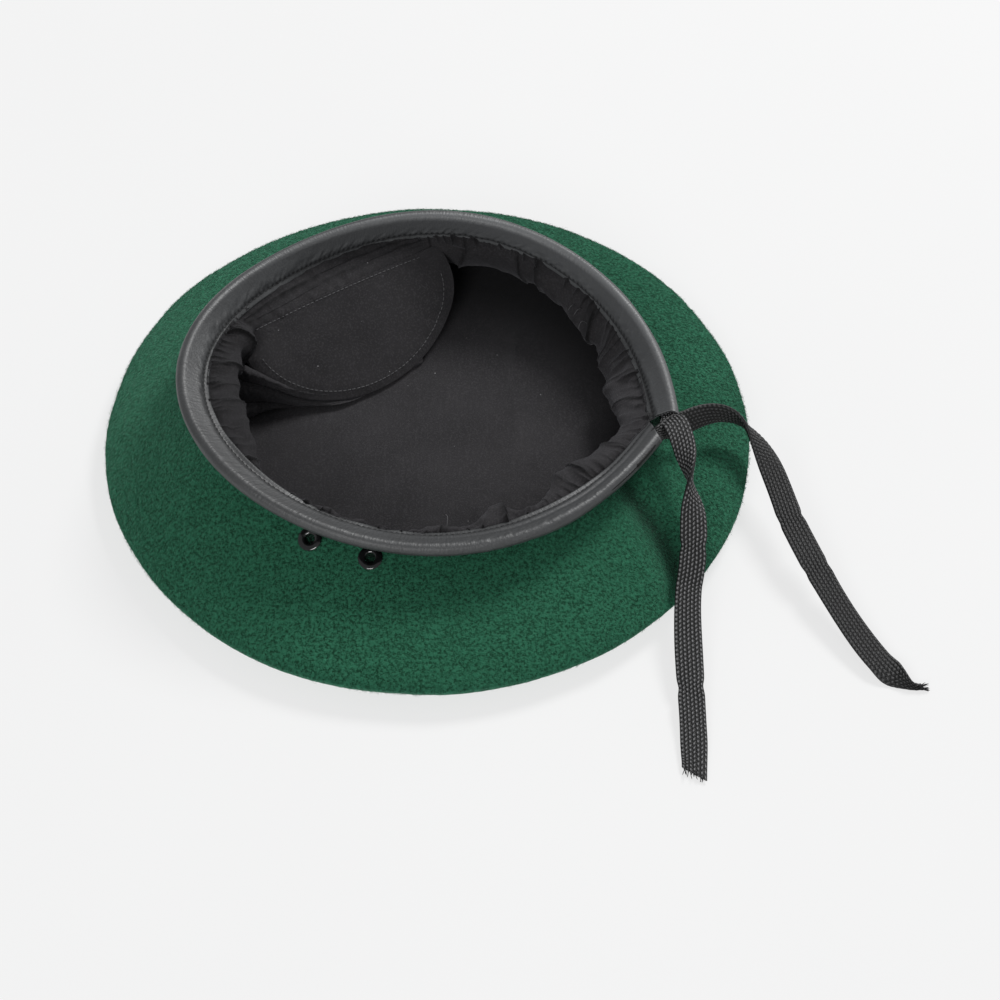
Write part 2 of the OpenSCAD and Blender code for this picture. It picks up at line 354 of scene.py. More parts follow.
def leather_material():
    m = Nodes("band_leather")
    uv = m.add("TexCoord").outputs["UV"]
    grain = m.add("TexVoronoi", {"Vector": uv, "Scale": 1300}).outputs["Distance"]
    wrinkles = m.noise(1100, 3, stretch=(1, 0.22, 1), where=uv)
    wear = m.noise(60, 4)
    colour = m.mix(m.ramp(wear, 0.35, 0.7), (0.022, 0.0232, 0.0246), (0.033, 0.0347, 0.0366))
    colour = m.mix(m.ramp(m.noise(900, 2), 0.5, 0.8, 0, 0.4), colour, (0.060, 0.063, 0.066))
    # The shade attribute above 0 lightens: the pale raw ends, and painted light on the far and right inner face. Below
    # 0 it darkens: painted shade on the near left, in the stitched groove and in the needle holes.
    colour = m.mix(m.ramp(m.shade(), 0, 1), colour, (0.13, 0.134, 0.138))
    colour = m.mix(m.ramp(m.shade(), 0, -1), colour, (0.003, 0.003, 0.003))
    height = m.math("ADD", m.math("MULTIPLY", grain, 0.5), m.math("MULTIPLY", wrinkles, 2.2))
    return m.finish(Base_Color=colour, Roughness=m.ramp(wear, 0.3, 0.7, 0.56, 0.48),
                    Normal=m.bump(height, 0.00018, 0.55), Specular_IOR_Level=0.8)


def cloth_material(name, dark, light, weave=0.00045):
    m = Nodes(name)
    uv = m.add("TexCoord").outputs["UV"]
    turns = 2 * math.pi / weave
    across = m.add("SeparateXYZ", {0: uv})
    warp = m.math("SINE", m.math("MULTIPLY", across.outputs[0], turns))
    weft = m.math("SINE", m.math("MULTIPLY", across.outputs[1], turns))
    threads = m.math("MULTIPLY", warp, weft)
    slub = m.noise(700, 2, stretch=(1, 0.15, 1))
    lint = m.add("TexVoronoi", {"Vector": m.place(), "Scale": 95}).outputs["Distance"]
    colour = m.mix(m.ramp(m.noise(40, 3), 0.3, 0.7), dark, light)
    colour = m.mix(m.ramp(m.noise(1300, 2), 0.52, 0.62, 0, 0.45), colour, tuple(2.2 * c for c in light))
    colour = m.mix(m.ramp(threads, -1, 1, 0, 0.35), colour, tuple(2.0 * c for c in light))
    colour = m.mix(m.ramp(slub, 0.55, 0.8, 0, 0.25), colour, tuple(2.4 * c for c in light))
    colour = m.mix(m.ramp(lint, 0.018, 0.03, 0.7, 0.0), colour, (0.35, 0.35, 0.36))
    # The shade attribute darkens: painted shade in the side lining's folds and painted shadow on the crown cloth by the
    # far right wall.
    colour = m.mix(m.shade(), colour, (0.0015, 0.0015, 0.0016))
    height = m.math("ADD", threads, m.math("MULTIPLY", m.noise(260, 3), 2.5))
    return m.finish(Base_Color=colour, Roughness=0.9, Normal=m.bump(height, 0.00010, 0.6),
                    Sheen_Weight=0.12, Sheen_Roughness=0.5, Sheen_Tint=(0.6, 0.6, 0.65),
                    Specular_IOR_Level=0.2)


def cord_material():
    m = Nodes("braided_cord")
    strands = m.noise(3000, 1)
    # The shade attribute lightens: painted highlight on the braid's loops, painted shade in the gaps.
    colour = m.mix(m.shade(), (0.0005, 0.0005, 0.0005), (0.210, 0.210, 0.215))
    colour = m.mix(m.ramp(strands, 0.55, 0.85, 0, 0.25), colour, (0.045, 0.045, 0.047))
    return m.finish(Base_Color=colour, Roughness=0.48, Normal=m.bump(strands, 0.0002, 0.5),
                    Specular_IOR_Level=0.35)


def thread_material():
    m = Nodes("sewing_thread")
    twist = m.noise(4200, 1, stretch=(1, 1, 0.3))
    colour = m.mix(m.ramp(twist, 0.35, 0.7), (0.020, 0.020, 0.021), (0.042, 0.042, 0.043))
    return m.finish(Base_Color=colour, Roughness=0.8, Normal=m.bump(twist, 0.0001, 0.6), Specular_IOR_Level=0.2)


def pale_thread_material():
    m = Nodes("worn_thread")
    twist = m.noise(4200, 1, stretch=(1, 1, 0.3))
    colour = m.mix(m.ramp(twist, 0.35, 0.7), (0.05, 0.05, 0.052), (0.12, 0.12, 0.125))
    return m.finish(Base_Color=colour, Roughness=0.6, Normal=m.bump(twist, 0.0001, 0.6))


def eyelet_material():
    m = Nodes("eyelet_enamel")
    marks = m.noise(900, 3)
    colour = m.mix(m.ramp(marks, 0.4, 0.8), (0.0015, 0.0015, 0.0017), (0.004, 0.004, 0.0045))
    return m.finish(Base_Color=colour, Roughness=m.ramp(marks, 0.3, 0.8, 0.08, 0.20), Coat_Weight=0.5,
                    Coat_Roughness=0.05, Specular_IOR_Level=0.45, Normal=m.bump(marks, 0.00008, 0.4))


def board_material():
    m = Nodes("stiffener_board")
    fibres = m.noise(800, 3, stretch=(1, 0.3, 1))
    colour = m.mix(m.ramp(fibres, 0.35, 0.7), (0.035, 0.034, 0.033), (0.065, 0.063, 0.060))
    return m.finish(Base_Color=colour, Roughness=0.85, Normal=m.bump(fibres, 0.0002, 0.5))


FELT = felt_material()
LEATHER = leather_material()
LINING = cloth_material("lining_cotton", (0.0125, 0.0118, 0.0128), (0.0215, 0.0203, 0.0217))
CORD = cord_material()
THREAD = thread_material()
WORN_THREAD = pale_thread_material()
ENAMEL = eyelet_material()
BOARD = board_material()


# ---- Wool shell ----

def seat_of(node):
    """Middle of a small part, as direction, radius and height."""
    low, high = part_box(node)
    x, y, z = (c / MM for c in (low + high) / 2)
    return math.degrees(math.atan2(y, x)), math.hypot(x, y), z


EYELETS = [seat_of(node) for node in ("vent_grommet_front", "vent_grommet_rear")]


def valley(a, t, width):
    """1 along the fold that runs from the band at the near tail down to the rim."""
    return bell(turn_between(a, 319 + 20 * t), 0, width)


def off_eyelets(a, r, z):
    """Distance of each point from the middle of the nearest eyelet."""
    gaps = [np.sqrt((turn_between(a, eye_a) * math.radians(eye_r)) ** 2 + (r - eye_r) ** 2 + (z - eye_z) ** 2)
            for eye_a, eye_r, eye_z in EYELETS]
    return np.minimum(*gaps)


def felt_surface(a, t, pit=1.6):
    """The shell's outer face above the rim, with its soft unevenness: a in degrees, t from rim to band."""
    a, t = np.broadcast_arrays(np.asarray(a, float), np.asarray(t, float))
    r, z = underside(a, t)
    dr, dz = (q - p for p, q in zip(underside(a, t - 0.01), underside(a, t + 0.01)))
    size = np.hypot(dr, dz)
    nr, nz = dz / size, -dr / size
    u = a / 360
    free = smooth(t / 0.12) * (1 - smooth((t - 0.75) / 0.2))
    swell = 0.55 * lumps(u, t, 15, 2, 3) + 0.3 * lumps(u, t, 38, 3, 4)
    dent = (-3.6 * valley(a, t, 4.0) - 0.8 * bell(turn_between(a, 285), 0, 16)) * free
    nap = 0.13 * lumps(u, t, 430, 42, 5) + 0.08 * lumps(u, t, 800, 84, 6)
    h = swell * smooth((1 - t) / 0.3) + dent + nap * smooth((0.98 - t) / 0.1)
    apart = off_eyelets(a, r, z)
    h = h * (1 - bell(apart, 0, 7.0)) + 0.45 * bell(apart, 0, 5.5) - pit * (1 - smooth((apart - 2.2) / 0.6))
    return r + h * nr, z + h * nz, nr, nz


def felt_inside(a, t):
    """The shell's inner face, where the felt thins towards the band."""
    r, z, nr, nz = felt_surface(a, t, pit=0)
    thick = WOOL_T - 0.5 - 0.9 * t**3
    return r - thick * nr, z - thick * nz


def add_shell():
    count = 800
    a = np.arange(count)[:, None] * 360 / count
    t = np.linspace(0, 1, 92)[None, :]
    r, z, _, _ = felt_surface(a, t)
    curve_w = 24.0
    turn_low = -90 + 90 * np.linspace(0, 1, 22)[:-1] ** 0.8
    nap = 0.12 * lumps(a / 360, np.linspace(0, 1, len(turn_low))[None, :], 430, 24, 8)
    swell = 0.55 * lumps(a / 360, 0 * a, 15, 2, 3) + 0.3 * lumps(a / 360, 0 * a, 38, 3, 4)
    reach = smooth((turn_low + 90) / 60)
    crown_r = RIM_R - curve_w + (curve_w + (nap + swell) * reach) * cosd(turn_low)
    crown_z = RIM_H + RIM_H * sind(turn_low) + 0 * a
    flat = np.linspace(0.02, 0.98, 12)[None, :] * (RIM_R - curve_w) + 0 * a
    tuck = [band_at(a, SEAM_DEPTH, WOOL_N), band_at(a, SEAM_DEPTH, WOOL_N + 1.2), band_at(a, 0, WOOL_N + 1.2)]
    inner_r, inner_z = felt_inside(a, np.linspace(0.92, 0, 14)[None, :])
    turn_back = np.linspace(0, -90, 8)[None, 1:]
    back_r = RIM_R - curve_w + (curve_w - WOOL_T) * cosd(turn_back) + 0 * a
    back_z = RIM_H + (RIM_H - WOOL_T) * sind(turn_back) + 0 * a
    rr = np.concatenate([flat, crown_r, r, *[p[0] for p in tuck], inner_r, back_r, flat[:, ::-3]], 1)
    zz = np.concatenate([0 * flat, crown_z, z, *[p[1] for p in tuck], inner_z, back_z,
                         0 * flat[:, ::-3] + WOOL_T], 1)
    columns = rr.shape[1]
    points = upright(rr, zz, a)
    # dark is painted shade for felted_wool: inside each eyelet's pit, along the fold beside the near tail, and in the
    # gap behind the band's mouth.
    dark = 1 - smooth((off_eyelets(a, rr, zz) - 3.1) / 0.8)
    first = flat.shape[1] + crown_r.shape[1]
    free = smooth(t / 0.2) * (1 - smooth((t - 0.8) / 0.2))
    # Painted shade along the fold beside the near tail.
    dark[:, first:first + t.shape[1]] += 0.80 * valley(a, t, 3.0) * free
    # Painted shade in the gap behind the band's mouth.
    behind_mouth = smooth(1.6 - turn_between(a, (MOUTH_START + MOUTH_END - 360) / 2) / 6)
    dark[:, first + int(0.85 * t.shape[1]):first + t.shape[1] + len(tuck)] += 0.97 * behind_mouth
    dark = np.clip(dark, 0, 1)
    faces = [grid_faces(count, columns, wrap_rows=True)]
    faces.append(cap_faces(np.arange(count) * columns, False))
    faces.append(cap_faces(np.arange(count) * columns + columns - 1, True))
    return add_mesh("felt_shell", points, np.concatenate(faces), FELT, replaces=["wool_shell"], slot="wool",
                    colours=dark)


def add_fuzz():
    """Short fibres that stand off the felt, as hair curves."""
    count = 110000
    rng = np.random.default_rng(11)
    share = rng.random(count)
    t = np.where(rng.random(count) < 0.9, rng.random(count) ** 1.1 * 0.9, -rng.random(count) * 0.25)
    a = share * 360
    r, z, nr, nz = felt_surface(a, np.maximum(t, 0))
    below = -np.minimum(t, 0) * 180
    r = np.where(t < 0, RIM_R - 24 + 24 * cosd(below), r)
    z = np.where(t < 0, RIM_H - RIM_H * sind(below), z)
    nr, nz = np.where(t < 0, cosd(below), nr), np.where(t < 0, -sind(below), nz)
    root = upright(r, z, a)
    normal = upright(nr, nz, a)
    swirl = 360 * lumps(a / 360, np.clip(t, 0, 1), 240, 26, 12) + rng.normal(0, 50, count)
    tangent = unit(np.cross(normal, [0, 0, 1.0]) + 1e-6)
    other = np.cross(normal, tangent)
    lay = tangent * cosd(swirl)[:, None] + other * sind(swirl)[:, None]
    length = rng.gamma(4.0, 0.16, count) + 0.35
    rise = rng.uniform(0.15, 0.75, count)[:, None]
    steps = np.linspace(0, 1, 5)
    curl = unit(np.cross(lay, normal)) * rng.normal(0, 0.5, (count, 1))
    path = [root + length[:, None] * (s * lay * 0.9 + s * (1.25 - 0.6 * s) * rise * normal + s * s * curl)
            for s in steps]
    points = np.stack(path, 1) * MM
    hair = bpy.data.hair_curves.new("felt_fuzz")
    hair.add_curves([len(steps)] * count)
    hair.attributes["position"].data.foreach_set("vector", points.astype(np.float32).ravel())
    radius = hair.attributes.get("radius") or hair.attributes.new("radius", "FLOAT", "POINT")
    thick = np.tile([1, 0.9, 0.75, 0.55, 0.25], count) * 0.030 * MM
    radius.data.foreach_set("value", thick.astype(np.float32))
    m = Nodes("felt_fibre")
    pick = m.noise(500, 2)
    colour = m.mix(m.ramp(pick, 0.3, 0.7), (0.012, 0.082, 0.043), (0.040, 0.185, 0.108))
    hair.materials.append(m.finish(Base_Color=colour, Roughness=0.85, Specular_IOR_Level=0.2))
    obj = bpy.data.objects.new("felt_fuzz", hair)
    bpy.context.scene.collection.objects.link(obj)
    obj.parent = frame["bodies"]["beret"]


# ---- Leather band ----

STITCH_PITCH = 2.5
STITCH_FROM = MOUTH_START + 1.0
STITCH_COUNT = int(math.radians(90) * (MOUTH_END - MOUTH_START) / STITCH_PITCH)
STITCH_STEP = (MOUTH_END - 1.5 - STITCH_FROM) / STITCH_COUNT


def mouth_angles(count, s):
    """Directions round the band at width s. The cut at the lower end slants, as if snipped on the bias."""
    share = np.linspace(0, 1, count)[:, None]
    last = MOUTH_END + 8.0 * (1 - np.clip(s, 0, BAND_W) / BAND_W) - 2.0
    first = MOUTH_START + 0.5
    ease = share + 0 * s
    return first + (last - first) * ease


def band_outline():
    """Section points (s, n) of the band, once round its outside and back round its inside."""
    bend = BAND_W - FOLD_HALF
    s = np.linspace(0, bend, 26)[:-1]
    half = EDGE_HALF + (FOLD_HALF - EDGE_HALF) * smooth(s / 8)
    q = np.linspace(-90, 90, 25)
    outer = np.concatenate([np.stack([s, -half], 1),
                            np.stack([bend + FOLD_HALF * cosd(q), FOLD_HALF * sind(q)], 1),
                            np.stack([s, half], 1)[::-1]])
    s2 = s[::3]
    half2 = half[::3] - LEATHER_T
    q2 = q[::4]
    inner_r = FOLD_HALF - LEATHER_T
    inner = np.concatenate([np.stack([s2, half2], 1),
                            np.stack([bend + inner_r * cosd(-q2), inner_r * sind(-q2)], 1),
                            np.stack([s2, -half2], 1)[::-1]])
    return outer, inner


def stitch_holes(a):
    """1 at each needle hole of the band's seam and 0 between them."""
    return bell(np.abs(((a - STITCH_FROM) / STITCH_STEP + 0.5) % 1 - 0.5), 0, 0.20)


def band_relief(a, s, side):
    """Height of the leather's puckers, creases and stitched groove above its plain face."""
    u = a / 360
    far = smooth((cosd(a - 95) + 0.25) / 0.9)
    seam = -0.20 * bell(s, STITCH_S, 0.75) - 0.14 * stitch_holes(a) * bell(s, STITCH_S, 0.55)
    seam = seam + 0.16 * bell(s, STITCH_S + 1.7, 0.8) * lumps(u, s * 0, 150, 1, 21)
    puckers = lumps(u + 0.0012 * s, s / BAND_W, 330, 5, 22) * bell(s, 4.6, 2.4)
    wrinkles = lumps(u + 0.0006 * s, s / BAND_W, 420, 6, 23) * bell(s, 11.6, 1.5)
    broad = 0.22 * lumps(u, s / BAND_W, 34, 1, 24) * smooth((s - 3) / 3)
    groove = -0.45 * bell(s, 7.0, 1.1) * bell(turn_between(a, 312), 0, 26)
    crown = 0.35 * bell(s, 4.8, 1.8) * (1 - 0.6 * far)
    bunched = bell(turn_between(a, 304), 0, 24)
    ripple = lumps(u - 0.0007 * s, s / BAND_W, 300, 2, 26) * (0.02 + 0.09 * bunched)
    lip = (0.10 + 0.9 * bell(turn_between(a, 214), 0, 14) + 0.7 * bell(turn_between(a, 312), 0, 16)
           + 0.25 * lumps(u, 0 * u, 60, 1, 25)) * smooth((STITCH_S - s) / STITCH_S) ** 1.5
    plain = seam + 0.36 * far * puckers + (0.05 + 0.12 * bunched) * wrinkles + broad + ripple * smooth((s - 3) / 2)
    return np.where(side > 0, plain + groove + crown + np.maximum(lip, -0.1), plain * 0.7)


def squeezed(a, s):
    """Width s along the band, drawn together where the band narrows towards the near side of the mouth."""
    tight = 0.24 * bell(turn_between(a, 328), 0, 20)
    return s * (1 - tight) + 0.40 * BAND_W * tight


def add_band():
    outer, inner = band_outline()
    count = 1500
    flat = np.concatenate([outer, inner])
    s, n = flat[:, 0][None, :], flat[:, 1][None, :]
    a = mouth_angles(count, s)
    half = EDGE_HALF + (FOLD_HALF - EDGE_HALF) * smooth(s / 8)
    share = np.clip(n / half, -1, 1)
    up = band_relief(a, s, 1)
    down = band_relief(a, s, -1)
    is_outer = (np.arange(len(flat)) < len(outer))[None, :]
    lift = np.where(share > 0, up * smooth(share / 0.6), 0) - np.where(share < 0, down * smooth(-share / 0.6), 0)
    bend = BAND_W - FOLD_HALF
    round_dir = np.arctan2(n, np.maximum(s - bend, 0) + 1e-6)
    n_move = lift * np.abs(np.sin(round_dir))
    s_move = np.abs(lift) * np.sign(up) * np.cos(round_dir) * (s > bend)
    keep = np.where(is_outer, 1.0, 0.8 * (s < 6))
    r, z = band_at(a, squeezed(a, s + s_move * keep), n + n_move * keep)
    columns = len(flat)
    points = upright(r, z, a)
    faces = [grid_faces(count, columns, wrap_columns=True)]
    faces.append(band_cap(len(outer), len(inner), 0, False))
    faces.append(band_cap(len(outer), len(inner), (count - 1) * columns, True))
    # cut holds the pale raw leather at the band's two ends, plus painted light and painted shade on its faces.
    cut = 0.0 * (a + s)
    # Painted light on the inner face round the far and right side, painted shade on the near left.
    painted_light_and_shade = 0.62 * bell(turn_between(a, 62), 0, 62) - 0.28 * bell(turn_between(a, 218), 0, 38)
    cut = cut + painted_light_and_shade * (is_outer & (n > 0))
    cut[[0, 1, -2, -1], :] = 0.4
    # Painted shade in the stitched groove, darker still in each needle hole.
    cut = cut - is_outer * (0.15 * bell(s, STITCH_S, 0.8) + 1.0 * stitch_holes(a) * bell(s, STITCH_S + 0.5, 1.0))
    step = np.hypot(*np.diff(flat, axis=0).T)
    across = np.concatenate([[0], np.cumsum(step)])[None, :]
    uv = np.stack(np.broadcast_arrays(math.radians(90) * a, across), -1)
    return add_mesh("sweatband_leather", points, np.concatenate(faces), LEATHER, replaces=["leather_band"],
                    slot="leather", colours=cut, uvs=uv)


def band_cap(outer, inner, first, flip):
    """The leather's cut face at one end of the band, between its outer and inner outlines."""
    total = outer + inner
    quads = []
    last = total - 1
    for i in range(outer - 1):
        j0 = last - round(i * (inner - 1) / (outer - 1))
        j1 = last - round((i + 1) * (inner - 1) / (outer - 1))
        quad = [i, i + 1, j1, j0]
        if j0 == j1:
            quad = [i, i + 1, j1, j1]
        quads.append(quad)
    quads = np.array([q[::-1] for q in quads] if flip else quads)
    return quads + first


def add_band_stitches():
    """Lock stitches through both layers, one visible dash between each pair of needle holes."""
    share = np.linspace(0, 1, 7)
    paths = []
    for side in (1, -1):
        for k in range(STITCH_COUNT):
            a = STITCH_FROM + STITCH_STEP * (k + 0.14 + 0.72 * share)
            dive = 1 - np.abs(2 * share - 1) ** 3
            base = band_relief(a, STITCH_S + 0 * a, side)
            n = side * (EDGE_HALF + base + 0.30 * dive - 0.08)
            slant = STITCH_S + 0.18 * (share - 0.5)
            paths.append(upright(*band_at(a, squeezed(a, slant), n), a))
    add_tubes("band_stitches", paths, 0.21, 6, THREAD, replaces=["band_thread"], slot="thread")


# ---- Lining: crown disc, gathered sides and the badge patch ----

def measure_patch():
    """The patch's plane from the CAD cover: middle of its straight edge, then its axes along and up the slope."""
    co = points_of("stiffener_cover")
    middle = co.mean(0)
    axes = np.linalg.svd(co - middle)[2]
    out = axes[2] * np.sign(axes[2][2])
    top = co[co[:, 2] > co[:, 2].max() - 1.5]
    left, right = top[np.argmin(top[:, 0])], top[np.argmax(top[:, 0])]
    along = unit(right - left)
    return (left + right) / 2, along, np.cross(out, along), out, np.linalg.norm(right - left) / 2


PATCH_AT, PATCH_X, PATCH_Y, PATCH_OUT, PATCH_R = measure_patch()
PATCH_DIR = math.degrees(math.atan2(PATCH_AT[1], PATCH_AT[0]))
PATCH_REACH = math.hypot(PATCH_AT[0], PATCH_AT[1])
FLOOR_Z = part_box("crown_lining")[1].z / MM
CROWN_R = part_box("crown_lining")[1].x / MM


def creases(a, turns, seed):
    """Irregular gathers: 0 in each sharp valley and 1 on each rounded ridge, with the ridge's width in degrees."""
    rng = np.random.default_rng(seed)
    steps = rng.gamma(2.6, 1.0, turns) + 0.5
    lines = np.concatenate([[0], np.cumsum(steps)]) * 360 / steps.sum()
    x = np.asarray(a, float) % 360
    k = np.clip(np.searchsorted(lines, x, side="right") - 1, 0, turns - 1)
    width = lines[k + 1] - lines[k]
    share = (x - lines[k]) / width
    tall = rng.uniform(0.45, 1.0, turns)[k]
    return np.sqrt(np.clip(1 - (2 * share - 1) ** 2, 0, 1)) * tall, width


def patch_share(a):
    """1 where the patch's straight edge lies in front of the band, fading to 0 beside it."""
    return smooth((36 - turn_between(a, PATCH_DIR)) / 7)


REACH_AT = np.array([0, 14, 28, 44, 60, 74, 88, 100, 150, 163, 178, 192, 204, 214, 224, 240, 262, 272, 280, 287, 293, 301,
                     308, 316, 325, 332, 340, 350.0])
REACH = np.array([12.5, 12, 9.5, 6.5, 4.0, 2.2, 2.5, 3.5, 7.0, 9.5, 11.5, 13, 12, 6.5, 2.2, 1.5, 2.0, 4.5, 3.0, 4.5, 9.0,
                  6.5, 5.5, 11.0, 12.0, 9.0, 9.5, 11.5])


def lining_reach(a):
    """How far the lining's puff stands in from the band's stitched edge."""
    return np.maximum(around(REACH_AT, REACH, a) + 1.5 * lumps(np.asarray(a, float) / 360, 0 * a, 31, 1, 36)
                      + 1.0 * lumps(np.asarray(a, float) / 360, 0 * a, 67, 1, 37), 1.2)


def lining_drop(a):
    """How far below the stitched edge the puff's nose hangs."""
    hang = smooth((cosd(a - 70) + 0.1) / 0.8)
    return 0.5 + 11.0 * hang * (1 - 0.55 * bell(turn_between(a, 75), 0, 34)) + 2.5 * bell(turn_between(a, 185), 0, 25)


def lining_rows(a, v):
    """Points of the side lining: v runs from under the band (0) over the puff's nose (0.45) to the crown seam (1)."""
    edge = band_at(a, 2.5, WOOL_N + 1.5)
    lip = band_at(a, -0.8, WOOL_N + 1.9)
    edge_r, edge_z = band_at(a, 0, WOOL_N + 1.5)
    near = patch_share(a)
    chord_r = PATCH_REACH / np.maximum(cosd(a - PATCH_DIR), 0.6) - 1.2
    nose_r = (edge_r - lining_reach(a)) * (1 - near) + np.minimum(chord_r, edge_r - 1.5) * near
    nose_z = (edge_z - lining_drop(a)) * (1 - near) + (PATCH_AT[2] + 0.4) * near
    hug_r, hug_z = underside(a, 0.70)
    low = (hug_r - 7.0, np.minimum(hug_z - 8.0, nose_z - 7.0))
    foot = (CROWN_R + 5.0 + 0 * edge_r, FLOOR_Z + 4.0 + 0 * edge_r)
    seam = (CROWN_R - 1.5 + 0 * edge_r, FLOOR_Z + 1.1 + 0 * edge_r)
    top = [edge, lip, (nose_r * 0.5 + lip[0] * 0.5, nose_z * 0.35 + lip[1] * 0.65 + 1.0), (nose_r, nose_z)]
    mid = [(nose_r, nose_z), (nose_r - 0.6, nose_z - 4.5), (low[0] - 2.0, low[1] + 1.5), low]
    end = [low, (low[0] + 14.0, low[1] - 2.0), foot, seam]
    out = []
    for axis in (0, 1):
        parts = [bezier([p[axis] for p in piece], t) for piece, t in
                 ((top, v / 0.45), (mid, (v - 0.45) / 0.25), (end, (v - 0.70) / 0.30))]
        out.append(np.where(v < 0.45, parts[0], np.where(v < 0.70, parts[1], parts[2])))
    return out[0], out[1]


def lining_surface(a, v):
    a, v = np.broadcast_arrays(np.asarray(a, float), np.asarray(v, float))
    r, z = lining_rows(a, v)
    dr, dz = (q - p for p, q in zip(lining_rows(a, v - 0.004), lining_rows(a, v + 0.004)))
    size = np.maximum(np.hypot(dr, dz), 1e-6)
    nr, nz = -dz / size, dr / size
    h, _ = lining_folds(a, v)
    return r + h * nr, z + h * nz


def lining_folds(a, v):
    """Height of the lining's gathers and folds, and painted shade from 0 to 1: in the valleys of the gathers and of the
    pulled folds above the patch, just below the band, and round the left side.
    """
    near = patch_share(a)
    shear = a + 9.0 * (v - 0.1) * lumps(a / 360, v, 24, 3, 31)
    fine, fine_w = creases(shear, 112, 32)
    coarse, coarse_w = creases(shear + 2 * v, 34, 33)
    open_fine = smooth(v / 0.08) * (1 - smooth((v - 0.12) / 0.30)) * (0.75 + 0.35 * lumps(a / 360, v, 60, 4, 38))
    open_coarse = smooth(v / 0.30) * (1 - smooth((v - 0.60) / 0.3))
    side = 1 - near
    pinned = 1 + 1.4 * bell(turn_between(a, 82), 0, 8) + 0.9 * bell(turn_between(a, 168), 0, 9)
    h = (0.62 * fine_w * (fine - 0.6) * open_fine * (0.12 + 0.88 * side)
         + 0.16 * coarse_w * (coarse - 0.6) * open_coarse * side) * pinned
    sweep = v * 1700 - 1.2 * (a - PATCH_DIR) + 60 * lumps(a / 360, 0 * v, 20, 1, 34)
    ridge = np.abs(sind(sweep)) ** 0.7
    pulled = near * bell(v, 0.25, 0.14)
    h = h + 2.0 * (ridge - 0.6) * pulled
    h = h + (0.50 * lumps(a / 360, v, 170, 12, 35) + 0.9 * lumps(a / 360, v, 62, 7, 39) * side) * smooth(v / 0.1)
    # Painted shade: darker in the valleys of the folds, just below the band and round the left side.
    painted_fold_shade = (smooth((0.62 - fine) / 0.62) * open_fine * (0.4 + 0.6 * side)
              + 0.30 * bell(v, 0.06, 0.10) + 0.5 * bell(turn_between(a, 195), 0, 42) * (1 - smooth((v - 0.4) / 0.3))
              + smooth((0.36 - coarse) / 0.36) * open_coarse * side + smooth((0.8 - ridge) / 0.8) * pulled)
    return h, np.clip(painted_fold_shade, 0, 1)


def add_side_lining():
    count, rows = 1400, 90
    a = np.arange(count)[:, None] * 360 / count
    v = np.linspace(0, 1, rows)[None, :]
    r, z = lining_surface(a, v)
    wool_r, wool_z = felt_inside(a, np.linspace(0.35, 1, 40)[None, :])
    for i in range(count):
        r[i] = np.minimum(r[i], np.interp(z[i], wool_z[i], wool_r[i]) - 0.8 * smooth(v[0] / 0.05))
    dr, dz = np.gradient(r, axis=1), np.gradient(z, axis=1)
    size = np.hypot(dr, dz)
    back_r, back_z = r + 0.5 * dz / size, z - 0.5 * dr / size
    rr = np.concatenate([r, back_r[:, ::-4]], 1)
    zz = np.concatenate([z, back_z[:, ::-4]], 1)
    columns = rr.shape[1]
    points = upright(rr, zz, a)
    # Painted shade in the lining's folds, which lining_cotton reads.
    _, painted_fold_shade = lining_folds(*np.broadcast_arrays(a, v))
    shade = np.concatenate([0.92 * painted_fold_shade, 0.92 * painted_fold_shade[:, ::-4]], 1)
    uv = np.stack(np.broadcast_arrays(a * math.radians(85), 60 * np.arange(columns)[None, :] / rows), -1)
    faces = grid_faces(count, columns, wrap_rows=True, wrap_columns=True)
    return add_mesh("side_cloth", points, faces, LINING, replaces=["side_lining"], slot="lining",
                    colours=shade, uvs=uv)


def crown_height(x, y):
    """The crown cloth lies flat but for its creases and a slow swell."""
    r = np.hypot(x, y)
    u, v = x / (2.2 * CROWN_R) + 0.5, y / (2.2 * CROWN_R) + 0.5
    h = 1.0 * lumps(u, v, 5, 5, 41) + 0.35 * lumps(u, v, 15, 15, 42) + 0.08 * lumps(u, v, 60, 60, 43)
    along = np.clip((y + 17) / 82, 0, 1)
    line = x - (34.5 + 3 * along) - 2 * lumps(0.3, v, 1, 6, 44)
    h = h + 1.8 * np.exp(-np.abs(line) / 4) * smooth((y + 45) / 40) * smooth((75 - y) / 30)
    line = x + 0.35 * y - 8
    h = h + 0.8 * np.exp(-np.abs(line) / 4) * smooth((-20 - y) / 20) * smooth((y + 85) / 20)
    return h * smooth((CROWN_R - r) / 8)


def add_crown():
    count, rows = 360, 90
    a = np.arange(count)[:, None] * 360 / count
    r = np.linspace(1.0, CROWN_R, rows)[None, :]
    x, y = r * cosd(a), r * sind(a)
    z = FLOOR_Z + 1.1 + crown_height(x, y)
    under = np.broadcast_to(FLOOR_Z - 0.5, z.shape)
    top = np.stack([x, y, z], -1)
    low = np.stack([x, y, under], -1)[:, ::-6]
    # Painted shadow of the far right wall on the outer part of the crown cloth.
    painted_recess_shadow = 0.9 * smooth((r - 60) / 34) * smooth((cosd(a - 35) + 0.1) / 0.9)
    points = np.concatenate([top, low], 1)
    columns = points.shape[1]
    faces = [grid_faces(count, columns, wrap_rows=True),
             cap_faces(np.arange(count) * columns, False),
             cap_faces(np.arange(count) * columns + columns - 1, True)]
    return add_mesh("crown_cloth", points, np.concatenate(faces), LINING, replaces=["crown_lining"],
                    slot="lining", colours=np.concatenate([painted_recess_shadow, painted_recess_shadow[:, ::-6]], 1), uvs=points[..., :2])


# ---- Badge patch ----

